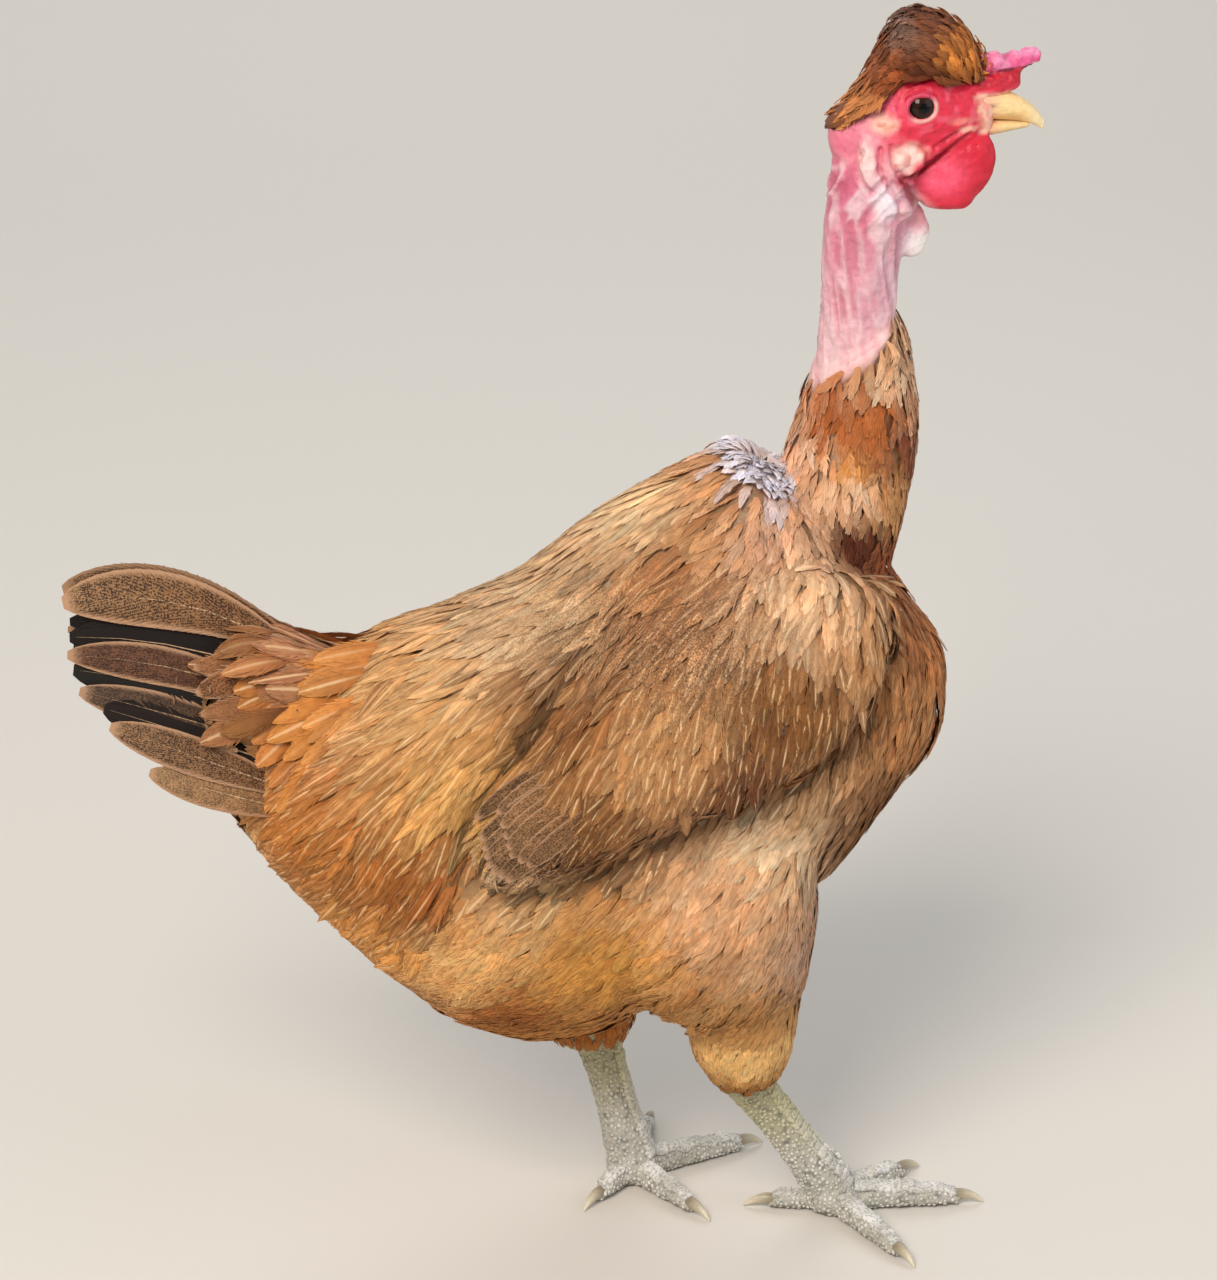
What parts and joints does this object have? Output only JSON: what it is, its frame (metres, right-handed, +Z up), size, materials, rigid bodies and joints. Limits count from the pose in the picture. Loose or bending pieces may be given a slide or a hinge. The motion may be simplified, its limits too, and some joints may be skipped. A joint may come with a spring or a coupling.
{
  "type": "bare-necked hen",
  "caption": "Life-size standing hen with buff feathers, bare pink neck, small crest and comb, red wattles and fanned tail, one leg ahead of the other.",
  "frame": {"origin": "middle of the bounding box seen from above, at the level of the soles", "axes": "+X toward the beak, +Y to the bird's left, +Z up"},
  "size_m": [0.3604, 0.1582, 0.4838],
  "materials": {
    "buff": "matt golden-buff contour feathers with paler shafts",
    "rust": "matt orange-brown feathers",
    "brown": "soft brown crest feathers",
    "peppered": "stiff brown quills peppered with black",
    "pink": "bare wrinkled skin",
    "red": "bare grained red skin with a soft sheen",
    "pale": "thin pale folds of skin",
    "horn": "smooth yellow horn with a soft shine",
    "eye": "wet, very glossy dark brown",
    "scale": "rough chalky leg scales",
    "claw": "dull pale horn"
  },
  "bodies": {
    "root": {"trunk": "buff", "bib": "rust", "neck": "pink", "head": "red", "beak_upper": "horn", "beak_lower": "horn", "comb": "red", "crest": "brown", "dewlap": "pale", "tail_coverts": "rust", "eye_right": "eye", "wattle_right": "red", "earlobe_right": "pale", "wing_right": "buff", "thigh_right": "buff", "drumstick_right": "rust", "shank_right": "scale", "foot_right": "scale", "tail_feather_right_1": "peppered", "tail_feather_right_2": "peppered", "tail_feather_right_3": "peppered", "tail_feather_right_4": "peppered", "toe_right_middle": "scale", "claw_right_middle": "claw", "toe_right_inner": "scale", "claw_right_inner": "claw", "toe_right_outer": "scale", "claw_right_outer": "claw", "toe_right_hind": "scale", "claw_right_hind": "claw", "eye_left": "eye", "wattle_left": "red", "earlobe_left": "pale", "wing_left": "buff", "thigh_left": "buff", "drumstick_left": "rust", "shank_left": "scale", "foot_left": "scale", "tail_feather_left_1": "peppered", "tail_feather_left_2": "peppered", "tail_feather_left_3": "peppered", "tail_feather_left_4": "peppered", "toe_left_middle": "scale", "claw_left_middle": "claw", "toe_left_inner": "scale", "claw_left_inner": "claw", "toe_left_outer": "scale", "claw_left_outer": "claw", "toe_left_hind": "scale", "claw_left_hind": "claw"}
  },
  "joints": []
}
